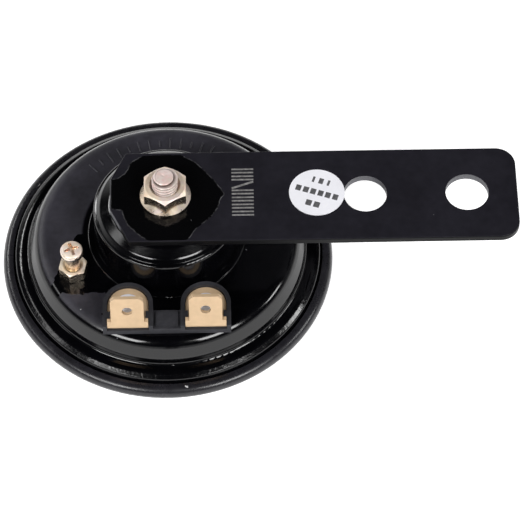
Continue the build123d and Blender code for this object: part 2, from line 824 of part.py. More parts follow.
# Each runs from the face it is soldered to, up or down, across, and onto the next face.
wire_routes = {
    "coil_start_wire": [
        (6.6, -10.2, bobbin_bottom_z),
        (6.6, -10.2, 14.7),
        (terminal_x, wire_tag_y, 14.6),
        (terminal_x, wire_tag_y, tag_z + tag_t),
    ],
    "coil_end_wire": [
        (-8.0, 8.6, bobbin_bottom_z),
        (-8.0, 8.6, 13.2),
        (-14.1, 8.2, 13.0),
        (-14.1, 8.2, carrier_z + carrier_t),
    ],
    "leaf_wire": [
        (-14.9, 12.3, leaf_z + leaf_t),
        (-14.9, 12.3, 14.5),
        (-11.9, 5.6, 14.6),
        (-12.0, -3.5, 14.9),
        (-9.6, -9.6, 14.6),
        (-terminal_x, wire_tag_y, 14.6),
        (-terminal_x, wire_tag_y, tag_z + tag_t),
    ],
}
wire_bends = {
    "coil_start_wire": [0.6, 0.4],
    "coil_end_wire": [1.0, 0.6],
    "leaf_wire": [0.4, 3.0, 6.0, 3.0, 0.4],
}

for name, route in wire_routes.items():
    with BuildPart() as wire:
        with BuildLine() as wire_path:
            FilletPolyline(*route, radius=wire_bends[name])
        with BuildSketch(Plane(route[0], z_dir=(0, 0, route[1][2] - route[0][2]))):
            Circle(wire_r)
        sweep()
    wire.part.label = name
    export_step(wire.part, f"parts/{name}.step")


# ---- Bracket and fastening ----

# Flat strap with a cut-off tail, rounded outer corners and two fixing holes.
with BuildPart() as mounting_bracket:
    with BuildSketch(Plane.XY.offset(bracket_z)):
        with BuildLine():
            FilletPolyline(
                (-bracket_tail_cut_x[0], bracket_half_w),
                (bracket_tail_x, bracket_tail_cut_y[0]),
                (bracket_tail_x, bracket_tail_cut_y[1]),
                (-bracket_tail_cut_x[1], -bracket_half_w),
                (bracket_end_x, -bracket_half_w),
                (bracket_end_x, bracket_half_w),
                close=True,
                radius=[0.5, 0.5, 0.5, 0.5, bracket_corner_r, bracket_corner_r],
            )
        make_face()
        Circle(bracket_bore_r, mode=Mode.SUBTRACT)
        for hole in range(2):
            with Locations((bracket_hole_x + hole * bracket_hole_pitch, 0)):
                Circle(bracket_hole_r, mode=Mode.SUBTRACT)
    extrude(amount=bracket_t)
    flats = mounting_bracket.faces().filter_by(Axis.Z).sort_by(SortBy.AREA)[-2:]
    fillet([edge for flat in flats for edge in flat.outer_wire().edges()], bracket_edge_r)
mounting_bracket.part.label = "mounting_bracket"
export_step(mounting_bracket.part, "parts/mounting_bracket.step")

# Flange nut: hexagon with turned corners on a sloped flange, countersunk at the top.
with BuildPart() as flange_nut:
    with BuildSketch(Plane.XY.offset(bracket_top_z)):
        RegularPolygon(nut_flats / 2, 6, major_radius=False, rotation=90)
    extrude(amount=nut_h)
    with BuildSketch(Plane.XZ):
        with BuildLine():
            Polyline(
                (0, bracket_top_z),
                (nut_flange_r, bracket_top_z),
                (nut_flange_r, bracket_top_z + nut_h - nut_bevel_h),
                (nut_bevel_r, bracket_top_z + nut_h),
                (0, bracket_top_z + nut_h),
                close=True,
            )
        make_face()
    revolve(axis=Axis.Z, mode=Mode.INTERSECT)
    with BuildSketch(Plane.XZ):
        with BuildLine():
            Polyline(
                (0, bracket_top_z),
                (nut_flange_r, bracket_top_z),
                (nut_flange_r, bracket_top_z + nut_flange_edge),
                (nut_flats / 2, bracket_top_z + nut_flange_h),
                (0, bracket_top_z + nut_flange_h),
                close=True,
            )
        make_face()
    revolve(axis=Axis.Z)
    with Locations((0, 0, bracket_top_z + nut_h)):
        CounterSinkHole(stud_r + clearance, nut_sink_r, counter_sink_angle=90)
flange_nut.part.label = "flange_nut"
export_step(flange_nut.part, "parts/flange_nut.step")

with BuildPart() as round_label:
    with BuildSketch(Plane.XY.offset(bracket_top_z)):
        with Locations((label_x, label_y)):
            Circle(label_r)
    extrude(amount=label_t)
round_label.part.label = "round_label"
export_step(round_label.part, "parts/round_label.step")
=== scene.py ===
import math

import bmesh
import bpy
import numpy as np
from mathutils import Matrix, Vector


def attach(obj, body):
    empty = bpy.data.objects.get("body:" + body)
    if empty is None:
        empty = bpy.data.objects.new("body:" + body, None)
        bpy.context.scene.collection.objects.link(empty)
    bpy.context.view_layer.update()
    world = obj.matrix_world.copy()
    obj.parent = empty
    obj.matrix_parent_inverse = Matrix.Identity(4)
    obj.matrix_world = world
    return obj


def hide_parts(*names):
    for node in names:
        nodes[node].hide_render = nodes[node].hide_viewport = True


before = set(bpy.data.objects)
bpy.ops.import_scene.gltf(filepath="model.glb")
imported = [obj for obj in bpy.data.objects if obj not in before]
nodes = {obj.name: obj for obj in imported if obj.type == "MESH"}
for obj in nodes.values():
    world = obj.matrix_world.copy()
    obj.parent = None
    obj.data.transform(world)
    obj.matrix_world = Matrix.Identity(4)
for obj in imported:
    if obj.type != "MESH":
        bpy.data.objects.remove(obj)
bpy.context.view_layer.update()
mm = 0.001
print("frame loaded:", len(nodes), "nodes")


# Camera: its direction comes from the elevation and the turn, its place from where the rim's centre is seen
cameraView = {
    "lens": 200.77,
    "sensor": 36.0,
    "elevation": 56.34,
    "turn": 1.09,
    "distance": 0.5737,
    "rimCentre": (0.0, 0.0, 0.0075),
    "rimAcross": -0.018165,
    "rimUp": 0.000791,
}


def addCamera(values):
    elevation = math.radians(values["elevation"])
    turn = math.radians(values["turn"])
    level = math.cos(elevation)
    forward = Vector((math.sin(turn) * level, math.cos(turn) * level, -math.sin(elevation)))
    right = Vector((math.cos(turn), -math.sin(turn), 0.0))
    up = right.cross(forward)
    place = Vector(values["rimCentre"])
    place -= right * values["rimAcross"] + up * values["rimUp"] + forward * values["distance"]
    data = bpy.data.cameras.new("camera")
    data.lens = values["lens"]
    data.sensor_width = values["sensor"]
    camera = bpy.data.objects.new("camera", data)
    bpy.context.scene.collection.objects.link(camera)
    axes = Matrix((right, up, -forward)).transposed()
    camera.matrix_world = Matrix.Translation(place) @ axes.to_4x4()
    bpy.context.scene.camera = camera


addCamera(cameraView)


# Node helpers: sockets are fed by name or number, with a link or a plain value
def put(tree, kind, values=None, **settings):
    made = tree.nodes.new("ShaderNode" + kind)
    for name, value in settings.items():
        setattr(made, name, value)
    feed(tree, made, values or {})
    return made


def feed(tree, made, values):
    for key, value in values.items():
        socket = made.inputs[key]
        if isinstance(value, bpy.types.NodeSocket):
            tree.links.new(value, socket)
        else:
            socket.default_value = value


def reckon(tree, operation, first, second=0.5, third=0.5, clamp=False):
    made = put(tree, "Math", {0: first, 1: second, 2: third}, operation=operation, use_clamp=clamp)
    return made.outputs[0]


def spread(tree, value, fromLow, fromHigh, toLow=0.0, toHigh=1.0):
    ends = {"From Min": fromLow, "From Max": fromHigh, "To Min": toLow, "To Max": toHigh}
    return put(tree, "MapRange", {"Value": value, **ends}).outputs[0]


def blendColour(tree, factor, first, second):
    made = tree.nodes.new("ShaderNodeMix")
    made.data_type = "RGBA"
    feed(tree, made, {0: factor, 6: first, 7: second})
    return made.outputs[2]


def colour(red, green, blue):
    return (red, green, blue, 1.0)


# Window: 1 between low and high, with soft ends
def window(tree, value, low, high, soft):
    rise = spread(tree, value, low - soft, low + soft)
    fall = spread(tree, value, high - soft, high + soft, 1.0, 0.0)
    return reckon(tree, "MULTIPLY", rise, fall)


def times(tree, *factors):
    product = factors[0]
    for factor in factors[1:]:
        product = reckon(tree, "MULTIPLY", product, factor)
    return product


# A group is a set of nodes with named inputs and outputs
def newGroup(name, inputs, outputs):
    group = bpy.data.node_groups.new(name, "ShaderNodeTree")
    for label, kind, value in inputs:
        socket = group.interface.new_socket(label, in_out="INPUT", socket_type="NodeSocket" + kind)
        if value is not None:
            socket.default_value = value
    for label, kind in outputs:
        group.interface.new_socket(label, in_out="OUTPUT", socket_type="NodeSocket" + kind)
    entry = group.nodes.new("NodeGroupInput")
    leave = group.nodes.new("NodeGroupOutput")
    return group, entry.outputs, leave


def useGroup(tree, group, values):
    made = tree.nodes.new("ShaderNodeGroup")
    made.node_tree = group
    feed(tree, made, values)
    return made.outputs


# Specks: each cell of a Voronoi pattern holds a dot, and only the cells whose random value
# is under the share show theirs
def makeSpecks():
    inputs = [
        ("Vector", "Vector", None),
        ("Scale", "Float", 500.0),
        ("Share", "Float", 0.1),
        ("Size", "Float", 0.2),
    ]
    group, given, leave = newGroup("specks", inputs, [("Mask", "Float")])
    cells = put(group, "TexVoronoi", {"Vector": given["Vector"], "Scale": given["Scale"]})
    chance = put(group, "SeparateColor", {"Color": cells.outputs["Color"]})
    chosen = reckon(group, "LESS_THAN", chance.outputs[0], given["Share"])
    size = reckon(group, "MULTIPLY", given["Size"], chance.outputs[1])
    near = reckon(group, "LESS_THAN", cells.outputs["Distance"], size)
    group.links.new(reckon(group, "MULTIPLY", chosen, near), leave.inputs["Mask"])
    return group


mottleNoise = {"fineTimes": 4.3, "wideShare": 0.6, "fineShare": 0.4, "darkest": 0.35, "lightest": 0.65}


# Mottle: two noises of different size, added and spread between a low and a high value
def makeMottle(noise):
    inputs = [
        ("Vector", "Vector", None),
        ("Scale", "Float", 300.0),
        ("Low", "Float", 0.0),
        ("High", "Float", 1.0),
    ]
    group, given, leave = newGroup("mottle", inputs, [("Value", "Float")])
    wide = put(group, "TexNoise", {"Vector": given["Vector"], "Scale": given["Scale"], "Detail": 3.0})
    fineScale = reckon(group, "MULTIPLY", given["Scale"], noise["fineTimes"])
    fine = put(group, "TexNoise", {"Vector": given["Vector"], "Scale": fineScale, "Detail": 4.0})
    wideShare = reckon(group, "MULTIPLY", wide.outputs[0], noise["wideShare"])
    both = reckon(group, "MULTIPLY_ADD", fine.outputs[0], noise["fineShare"], wideShare)
    value = spread(group, both, noise["darkest"], noise["lightest"], given["Low"], given["High"])
    group.links.new(value, leave.inputs["Value"])
    return group


# Around: distance from the part's upright axis, angle about it and height, all from the position
def makeAround():
    outputs = [("Radius", "Float"), ("Angle", "Float"), ("Height", "Float")]
    group, given, leave = newGroup("around", [("Vector", "Vector", None)], outputs)
    x, y, height = put(group, "SeparateXYZ", {0: given["Vector"]}).outputs
    squares = reckon(group, "MULTIPLY_ADD", x, x, reckon(group, "MULTIPLY", y, y))
    group.links.new(reckon(group, "SQRT", squares), leave.inputs["Radius"])
    group.links.new(reckon(group, "ARCTAN2", y, x), leave.inputs["Angle"])
    group.links.new(height, leave.inputs["Height"])
    return group


spotNoiseScale = 2600.0


# Spot: 1 inside an ellipse about a centre, turned about the upright axis, with a ragged edge from noise
def makeSpot():
    inputs = [
        ("Vector", "Vector", None),
        ("Centre", "Vector", None),
        ("Turn", "Float", 0.0),
        ("Length", "Float", 0.001),
        ("Width", "Float", 0.0003),
        ("Ragged", "Float", 0.5),
    ]
    group, given, leave = newGroup("spot", inputs, [("Mask", "Float")])
    shifted = put(group, "VectorMath", {0: given["Vector"], 1: given["Centre"]}, operation="SUBTRACT")
    turn = put(group, "CombineXYZ", {2: reckon(group, "MULTIPLY", given["Turn"], -1.0)})
    turned = put(
        group,
        "VectorRotate",
        {"Vector": shifted.outputs[0], "Rotation": turn.outputs[0]},
        rotation_type="EULER_XYZ",
    )
    parts = put(group, "SeparateXYZ", {0: turned.outputs[0]})
    along = reckon(group, "DIVIDE", parts.outputs[0], given["Length"])
    across = reckon(group, "DIVIDE", parts.outputs[1], given["Width"])
    squares = reckon(group, "MULTIPLY_ADD", along, along, reckon(group, "MULTIPLY", across, across))
    noise = put(group, "TexNoise", {"Vector": given["Vector"], "Scale": spotNoiseScale, "Detail": 2.0})
    raggedness = reckon(group, "MULTIPLY_ADD", noise.outputs[0], given["Ragged"], squares)
    inside = reckon(group, "LESS_THAN", raggedness, 1.0)
    group.links.new(inside, leave.inputs["Mask"])
    return group


specks = makeSpecks()
mottle = makeMottle(mottleNoise)
around = makeAround()
spot = makeSpot()


def startMaterial(name):
    material = bpy.data.materials.new(name)
    material.use_nodes = True
    tree = material.node_tree
    shader = tree.nodes["Principled BSDF"]
    place = put(tree, "TexCoord").outputs["Object"]
    return material, tree, shader, place


def dress(material, *names):
    for name in names:
        nodes[name].data.materials.clear()
        nodes[name].data.materials.append(material)


def scaled(tree, plain, amount):
    return put(tree, "VectorMath", {0: plain[:3], "Scale": amount}, operation="SCALE").outputs[0]


def mottled(tree, place, scale, low, high):
    return useGroup(tree, mottle, {"Vector": place, "Scale": scale, "Low": low, "High": high})["Value"]


def speckled(tree, place, scale, share, size):
    return useGroup(tree, specks, {"Vector": place, "Scale": scale, "Share": share, "Size": size})["Mask"]


def noisy(tree, place, scale, detail):
    return put(tree, "TexNoise", {"Vector": place, "Scale": scale, "Detail": detail}).outputs[0]


def bumped(tree, height, strength, distance):
    return put(tree, "Bump", {"Height": height, "Strength": strength, "Distance": distance}).outputs[0]


# Black enamel of the housing and the cover
enamel = {
    "base": colour(0.0012, 0.0012, 0.0018),
    "coverBase": colour(0.015, 0.0145, 0.018),
    "satin": colour(0.029, 0.0275, 0.0365),
    "dust": colour(0.12, 0.12, 0.13),
    "chip": colour(0.6, 0.6, 0.6),
    "roughLow": 0.1,
    "roughHigh": 0.16,
    "coverRoughLow": 0.24,
    "coverRoughHigh": 0.32,
    "satinRough": 0.5,
    "glossScale": 300.0,
    "paintTone": (220.0, 0.7, 1.3),  # scale, darkest, lightest
    "dustSpecks": (520.0, 0.035, 0.1),  # scale, share of the cells, size
    "peelScale": 700.0,
    "peelDepth": 0.000003,
    "bumpStrength": 0.4,
    # The satin ring on the plateau, with a wavering edge
    "satinInnerR": 0.0166,
    "satinOuterR": 0.0252,
    "satinFarY": 0.008,
    "plateauLow": 0.0152,
    "plateauHigh": 0.0162,
    "plateauSoft": 0.0001,
    "ringSoft": 0.0003,
    "wobbleScale": 380.0,
    "wobbleNoise": (0.3, 0.7),
    "wobbleReach": 0.0007,
    # The glossy pool round the screw
    "poolLeftX": -0.0176,
    "poolSlant": 0.4,
    "poolFarY": -0.0005,
    "poolNearY": -0.0142,
    "poolSoft": 0.00005,
    "poolEdge": (0.05, 0.95, 0.04),  # from and to which share of satin, softness
    "poolEdgeRise": 4.0,
    "glossRightX": -0.0122,
    # Tool marks on the sloped band
    "bandInnerR": 0.0288,
    "bandOuterR": 0.0301,
    "marksRound": 60.0,
    "marksOutward": 900.0,
    "marksNoise": (0.5, 0.62),
    "marksRise": 6.0,
    # Chips: centre, turn, half length and half width
    "chips": [
        ((0.0035, -0.0311, 0.008), -0.5, 0.00045, 0.00022),
        ((-0.0258, 0.0166, 0.008), 1.05, 0.0005, 0.00005),
        ((-0.0166, -0.0176, 0.012), 0.0, 0.00014, 0.0001),
    ],
    "chipRagged": 0.7,
    "chipRough": 0.6,
}


# The mask of all chips is the highest of their spots
def spotMask(tree, place, spots, ragged):
    total = None
    for centre, turn, length, width in spots:
        values = {"Vector": place, "Centre": centre, "Turn": turn, "Length": length, "Width": width}
        mask = useGroup(tree, spot, {**values, "Ragged": ragged})["Mask"]
        total = mask if total is None else reckon(tree, "MAXIMUM", total, mask)
    return total


# Satin where the plateau is bare of the second, glossy lacquer: the far and left side, less the pool round
# the screw. The pool begins where x - slant * y passes its left end
def satinMask(tree, place, ring, values):
    reach = values["wobbleReach"]
    wobble = noisy(tree, place, values["wobbleScale"], 3.0)
    shift = spread(tree, wobble, *values["wobbleNoise"], -reach, reach)
    plainX, plainY, _ = put(tree, "SeparateXYZ", {0: place}).outputs
    x = reckon(tree, "ADD", plainX, shift)
    y = reckon(tree, "ADD", plainY, shift)
    flat = window(tree, ring["Height"], values["plateauLow"], values["plateauHigh"], values["plateauSoft"])
    disc = window(tree, ring["Radius"], values["satinInnerR"], values["satinOuterR"], values["ringSoft"])
    far = reckon(tree, "GREATER_THAN", plainY, values["satinFarY"])
    left = reckon(tree, "LESS_THAN", x, values["glossRightX"])
    farOrLeft = reckon(tree, "MAXIMUM", far, left)
    slanted = reckon(tree, "MULTIPLY_ADD", y, -values["poolSlant"], x)
    poolX = reckon(tree, "GREATER_THAN", slanted, values["poolLeftX"])
    poolY = window(tree, y, values["poolNearY"], values["poolFarY"], values["poolSoft"])
    outsidePool = reckon(tree, "SUBTRACT", 1.0, times(tree, poolX, poolY))
    return times(tree, flat, disc, farOrLeft, outsidePool)


# Tool marks across the sloped band beside the rolled lip: noise over the angle and the radius
def toolMarks(tree, ring, values):
    turns = reckon(tree, "MULTIPLY", ring["Angle"], values["marksRound"])
    steps = reckon(tree, "MULTIPLY", ring["Radius"], values["marksOutward"])
    marks = noisy(tree, put(tree, "CombineXYZ", {0: turns, 1: steps}).outputs[0], 1.0, 3.0)
    band = window(tree, ring["Radius"], values["bandInnerR"], values["bandOuterR"], values["ringSoft"])
    return times(tree, spread(tree, marks, *values["marksNoise"]), band)


def makeEnamel(name, values, marked):
    material, tree, shader, place = startMaterial(name)
    dusty = speckled(tree, place, *values["dustSpecks"])
    paint = mottled(tree, place, *values["paintTone"])
    low, high = ("roughLow", "roughHigh") if marked else ("coverRoughLow", "coverRoughHigh")
    rough = mottled(tree, place, values["glossScale"], values[low], values[high])
    base = scaled(tree, values["base"] if marked else values["coverBase"], paint)
    height = noisy(tree, place, values["peelScale"], 2.0)
    if marked:
        ring = useGroup(tree, around, {"Vector": place})
        satin = satinMask(tree, place, ring, values)
        base = blendColour(tree, satin, base, scaled(tree, values["satin"], paint))
        rough = spread(tree, satin, 0.0, 1.0, rough, values["satinRough"])
        # The pool's dried edge stands up a little
        edge = window(tree, satin, *values["poolEdge"])
        height = reckon(tree, "MULTIPLY_ADD", edge, values["poolEdgeRise"], height)
        height = reckon(tree, "MULTIPLY_ADD", toolMarks(tree, ring, values), values["marksRise"], height)
    chipped = spotMask(tree, place, values["chips"], values["chipRagged"])
    base = blendColour(tree, dusty, base, values["dust"])
    base = blendColour(tree, chipped, base, values["chip"])
    rough = reckon(tree, "MAXIMUM", rough, reckon(tree, "MULTIPLY", chipped, values["chipRough"]))
    normal = bumped(tree, height, values["bumpStrength"], values["peelDepth"])
    feed(tree, shader, {"Base Color": base, "Roughness": rough, "Normal": normal})
    return material


housingEnamel = makeEnamel("housingEnamel", enamel, True)
dress(housingEnamel, "rear_housing")
dress(makeEnamel("coverEnamel", enamel, False), "front_cover")
print("enamel done")


# What the plain finishes share: how the tints, specks and roughness are scaled, where a face starts to
# look up, how softly the painted light on a hole's wall passes into the painted shade on the strap's side
finishRules = {
    "tintScale": 0.6,
    "tintLow": -0.3,
    "speckScale": 800.0,
    "roughScale": 1.7,
    "upFrom": 0.55,
    "upTo": 0.85,
    "sideSoft": 0.001,
    "bumpStrength": 0.4,
    "plainIndex": 1.5,
}


# 1 where a face looks up and 0 where it stands upright, from the height of its normal
def facingUp(tree, rules):
    upward = put(tree, "SeparateXYZ", {0: put(tree, "NewGeometry").outputs["Normal"]}).outputs[2]
    return spread(tree, upward, rules["upFrom"], rules["upTo"])


# Painted light and shade on the strap's upright faces: light grey on the walls of its holes near the middle
# line, near-black painted shade on the outer sides beyond their reach
def paintedSideLightAndShade(tree, place, values, rules):
    fromMiddle = reckon(tree, "ABSOLUTE", put(tree, "SeparateXYZ", {0: place}).outputs[1])
    outer = spread(tree, fromMiddle, values["holeReach"], values["holeReach"] + rules["sideSoft"])
    return blendColour(tree, outer, values["litHoleWall"], values["shadedOuterSide"])


# Plain finish: a base colour varied by mottle, a roughness range and a fine bump. Some have patches of tint,
# specks, painted shade at the bottom of a groove, painted light on the walls of holes and painted shade on
# outer sides that stand upright, or a duller and rougher top
def makeFinish(name, values, rules):
    material, tree, shader, place = startMaterial(name)
    scale = values["scale"]
    base = scaled(tree, values["base"], mottled(tree, place, scale, values["dark"], values["light"]))
    for tint, shift, amount in values.get("tints", []):
        moved = put(tree, "VectorMath", {0: place, 1: shift}, operation="ADD").outputs[0]
        patch = mottled(tree, moved, scale * rules["tintScale"], rules["tintLow"], amount)
        base = blendColour(tree, reckon(tree, "MAXIMUM", patch, 0.0), base, tint)
    if "specks" in values:
        share, size, speck = values["specks"]
        base = blendColour(tree, speckled(tree, place, rules["speckScale"], share, size), base, speck)
    rough = mottled(tree, place, scale * rules["roughScale"], values["roughLow"], values["roughHigh"])
    metallic = values["metallic"]
    # Painted shade: the grooveShade attribute darkens the base colour at the bottom of the thread grooves
    if "grooveShade" in values:
        grooveShade = put(tree, "Attribute", attribute_name="grooveShade").outputs["Fac"]
        base = blendColour(tree, grooveShade, base, values["grooveShade"])
    # The strap's upright and downward faces take the painted light and shade in place of the paint's colour
    if "shadedOuterSide" in values:
        base = blendColour(tree, facingUp(tree, rules), paintedSideLightAndShade(tree, place, values, rules), base)
    if "upMetallic" in values:
        facing = facingUp(tree, rules)
        metallic = spread(tree, facing, 0.0, 1.0, values["metallic"], values["upMetallic"])
        rough = reckon(tree, "MULTIPLY_ADD", facing, values["upRougher"], rough)
    grain = noisy(tree, place, values["grain"], 3.0)
    normal = bumped(tree, grain, rules["bumpStrength"], values["depth"])
    feed(tree, shader, {"Base Color": base, "Roughness": rough, "Metallic": metallic, "Normal": normal})
    shader.inputs["IOR"].default_value = values.get("indexOfRefraction", rules["plainIndex"])
    return material


finishes = {
    "bracketPaint": {
        "base": colour(0.0152, 0.0145, 0.0195), "dark": 0.8, "light": 1.2, "scale": 160.0,
        "roughLow": 0.36, "roughHigh": 0.44, "metallic": 0.0, "grain": 2500.0, "depth": 0.000002,
        "indexOfRefraction": 1.22, "holeReach": 0.0065,
        # shadedOuterSide is painted shade on the strap's outer sides, litHoleWall painted light on its hole
        # walls
        "shadedOuterSide": colour(0.0015, 0.0015, 0.002), "litHoleWall": colour(0.11, 0.11, 0.12),
        "specks": (0.03, 0.12, colour(0.09, 0.09, 0.1)),
    },
    "zincYellow": {
        "base": colour(0.88, 0.77, 0.61), "dark": 0.8, "light": 1.08, "scale": 420.0,
        "roughLow": 0.18, "roughHigh": 0.3, "upMetallic": 0.28, "upRougher": 0.24,
        "metallic": 1.0, "grain": 3000.0, "depth": 0.000003,
        # Tints: colour, shift of the patches, amount
        "tints": [
            (colour(0.86, 0.6, 0.4), (0.003, 0.001, 0.0), 0.7),
            (colour(0.8, 0.66, 0.72), (0.0, 0.004, 0.002), 0.5),
        ],
    },
    "zincPink": {
        "base": colour(0.9, 0.77, 0.73), "dark": 0.86, "light": 1.05, "scale": 600.0,
        "roughLow": 0.2, "roughHigh": 0.32, "upMetallic": 0.2, "upRougher": 0.25,
        # grooveShade: painted shade, the dark colour laid into the thread grooves
        "grooveShade": colour(0.07, 0.042, 0.03), "metallic": 1.0, "grain": 3500.0, "depth": 0.000003,
        "tints": [
            (colour(0.85, 0.55, 0.5), (0.003, 0.001, 0.0), 0.7),
            (colour(0.7, 0.72, 0.6), (0.0, 0.004, 0.002), 0.6),
        ],
    },
    "brass": {
        "base": colour(0.6, 0.43, 0.265), "dark": 0.93, "light": 1.05, "scale": 260.0,
        "roughLow": 0.42, "roughHigh": 0.52, "metallic": 0.4, "upMetallic": 0.0, "upRougher": 0.08,
        "grain": 1800.0, "depth": 0.000003,
        "specks": (0.03, 0.16, colour(0.35, 0.24, 0.12)),
    },
    "rivetSteel": {
        "base": colour(0.93, 0.91, 0.95), "dark": 0.9, "light": 1.06, "scale": 500.0,
        "roughLow": 0.42, "roughHigh": 0.52, "metallic": 0.5, "grain": 2500.0, "depth": 0.000003,
        "upMetallic": 0.0, "upRougher": 0.08,
    },
    "blockPlastic": {
        "base": colour(0.034, 0.034, 0.039), "dark": 0.8, "light": 1.25, "scale": 300.0,
        "roughLow": 0.36, "roughHigh": 0.5, "metallic": 0.0, "grain": 2800.0, "depth": 0.000006,
        "indexOfRefraction": 1.3,
        "specks": (0.03, 0.12, colour(0.08, 0.08, 0.09)),
    },
    "bobbinPlastic": {
        "base": colour(0.35, 0.33, 0.28), "dark": 0.85, "light": 1.1, "scale": 300.0,
        "roughLow": 0.4, "roughHigh": 0.5, "metallic": 0.0, "grain": 2000.0, "depth": 0.000004,
    },
    "fibre": {
        "base": colour(0.32, 0.16, 0.08), "dark": 0.75, "light": 1.2, "scale": 700.0,
        "roughLow": 0.6, "roughHigh": 0.8, "metallic": 0.0, "grain": 2600.0, "depth": 0.00001,
    },
    "copper": {
        "base": colour(0.72, 0.3, 0.14), "dark": 0.8, "light": 1.1, "scale": 500.0,
        "roughLow": 0.22, "roughHigh": 0.34, "metallic": 1.0, "grain": 2000.0, "depth": 0.000003,
    },
    "softIron": {
        "base": colour(0.42, 0.41, 0.4), "dark": 0.8, "light": 1.1, "scale": 350.0,
        "roughLow": 0.32, "roughHigh": 0.46, "metallic": 1.0, "grain": 2200.0, "depth": 0.000004,
    },
    "springSteel": {
        "base": colour(0.55, 0.55, 0.57), "dark": 0.88, "light": 1.06, "scale": 300.0,
        "roughLow": 0.22, "roughHigh": 0.32, "metallic": 1.0, "grain": 2400.0, "depth": 0.000002,
    },
    "bronze": {
        "base": colour(0.7, 0.45, 0.22), "dark": 0.85, "light": 1.08, "scale": 380.0,
        "roughLow": 0.28, "roughHigh": 0.4, "metallic": 1.0, "grain": 2200.0, "depth": 0.000003,
    },
    "contactSilver": {
        "base": colour(0.82, 0.8, 0.77), "dark": 0.8, "light": 1.05, "scale": 700.0,
        "roughLow": 0.3, "roughHigh": 0.45, "metallic": 1.0, "grain": 2600.0, "depth": 0.000004,
    },
    "gasketPaper": {
        "base": colour(0.2, 0.17, 0.13), "dark": 0.8, "light": 1.15, "scale": 600.0,
        "roughLow": 0.75, "roughHigh": 0.9, "metallic": 0.0, "grain": 2600.0, "depth": 0.00001,
    },
    "labelPaper": {
        "base": colour(0.93, 0.93, 0.98), "dark": 0.97, "light": 1.04, "scale": 240.0,
        "roughLow": 0.45, "roughHigh": 0.55, "metallic": 0.0, "grain": 1600.0, "depth": 0.000003,
    },
    "labelInk": {
        "base": colour(0.1, 0.1, 0.105), "dark": 0.6, "light": 1.4, "scale": 1500.0,
        "roughLow": 0.5, "roughHigh": 0.6, "metallic": 0.0, "grain": 1600.0, "depth": 0.000002,
    },
    "printInk": {
        "base": colour(0.24, 0.235, 0.23), "dark": 0.45, "light": 1.35, "scale": 1500.0,
        "roughLow": 0.5, "roughHigh": 0.65, "metallic": 0.0, "grain": 1800.0, "depth": 0.000002,
    },
}
materials = {name: makeFinish(name, values, finishRules) for name, values in finishes.items()}

finishOf = {
    "bracketPaint": ["mounting_bracket"],
    "zincYellow": ["flange_nut", "lock_nut", "weld_nut", "adjusting_screw"],
    "softIron": ["pole_core", "armature", "disc_spacer", "disc_nut"],
    "brass": ["terminal_left", "terminal_right", "solder_tag_left", "solder_tag_right"],
    "rivetSteel": ["terminal_rivet_left", "terminal_rivet_right", "breaker_rivets", "breaker_base"],
    "blockPlastic": ["terminal_block"],
    "bobbinPlastic": ["coil_bobbin", "arm_button"],
    "fibre": ["terminal_insulator", "upper_insulator", "middle_insulator", "lower_insulator", "adjuster_pad"],
    "copper": ["coil_winding", "coil_start_wire", "coil_end_wire", "leaf_wire"],
    "springSteel": ["diaphragm", "tone_disc", "contact_carrier"],
    "bronze": ["contact_leaf", "contact_arm"],
    "contactSilver": ["moving_contact", "fixed_contact"],
    "gasketPaper": ["front_gasket", "rear_gasket"],
    "labelPaper": ["round_label"],
}
for finish, names in finishOf.items():
    dress(materials[finish], *names)
print("finishes done:", len(materials))


# Faces of a grid that closes round each row: a point, the next in its row, and those two in the row ahead
def gridFaces(rows, columns):
    index = np.arange(rows * columns).reshape(rows, columns)
    ahead = np.roll(index, -1, axis=1)
    return np.stack([index[:-1], ahead[:-1], ahead[1:], index[1:]], axis=-1).reshape(-1, 4)


def linked(name, mesh, material):
    mesh.materials.append(material)
    piece = bpy.data.objects.new(name, mesh)
    bpy.context.scene.collection.objects.link(piece)
    return piece


# A turned surface becomes a piece: points that meet at a pole are joined, and faces made to point outwards
def makePiece(name, points, faces, material, sharpAngle, grooveShade=None):
    mesh = bpy.data.meshes.new(name)
    mesh.from_pydata(points.tolist(), [], faces.tolist())
    # The grooveShade value at each point is the weight of the painted shade in the thread grooves
    if grooveShade is not None:
        mesh.attributes.new("grooveShade", "FLOAT", "POINT").data.foreach_set("value", grooveShade.astype(np.float32))
    work = bmesh.new()
    work.from_mesh(mesh)
    bmesh.ops.remove_doubles(work, verts=work.verts, dist=1e-8)
    bmesh.ops.recalc_face_normals(work, faces=work.faces)
    work.to_mesh(mesh)
    work.free()
    mesh.shade_smooth()
    mesh.set_sharp_from_angle(angle=math.radians(sharpAngle))
    piece = linked(name, mesh, material)
    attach(piece, "horn")
    return piece


# Points of a turned piece: centre + radius * (cosine, sine) of the angle, at the height of each
def turned(radii, heights, centre):
    angles = np.linspace(0.0, 2 * np.pi, radii.shape[1], endpoint=False)
    x = centre[0] + radii * np.cos(angles)
    y = centre[1] + radii * np.sin(angles)
    return np.stack([x, y, heights], axis=-1)


# Profile corners with rows between them: start + (end - start) * i / count, about a step apart
def profileRows(corners, step):
    corners = np.array(corners)
    rows = [corners[:1]]
    for start, end in zip(corners, corners[1:]):
        count = max(1, int(round(math.hypot(*(end - start)) / step)))
        rows.append(start + (end - start) * np.arange(1, count + 1)[:, None] / count)
    return np.vstack(rows)


# Thread depth at each point: a sharp-sided wave along the axis that climbs one pitch a turn
def threadDepth(heights, angles, values):
    phase = (heights / values["pitch"] - angles / (2 * np.pi)) % 1.0
    wave = np.abs(phase * 2 - 1)
    return values["depth"] * np.clip(wave * values["flankSlope"] - values["flankShift"], 0.0, 1.0)


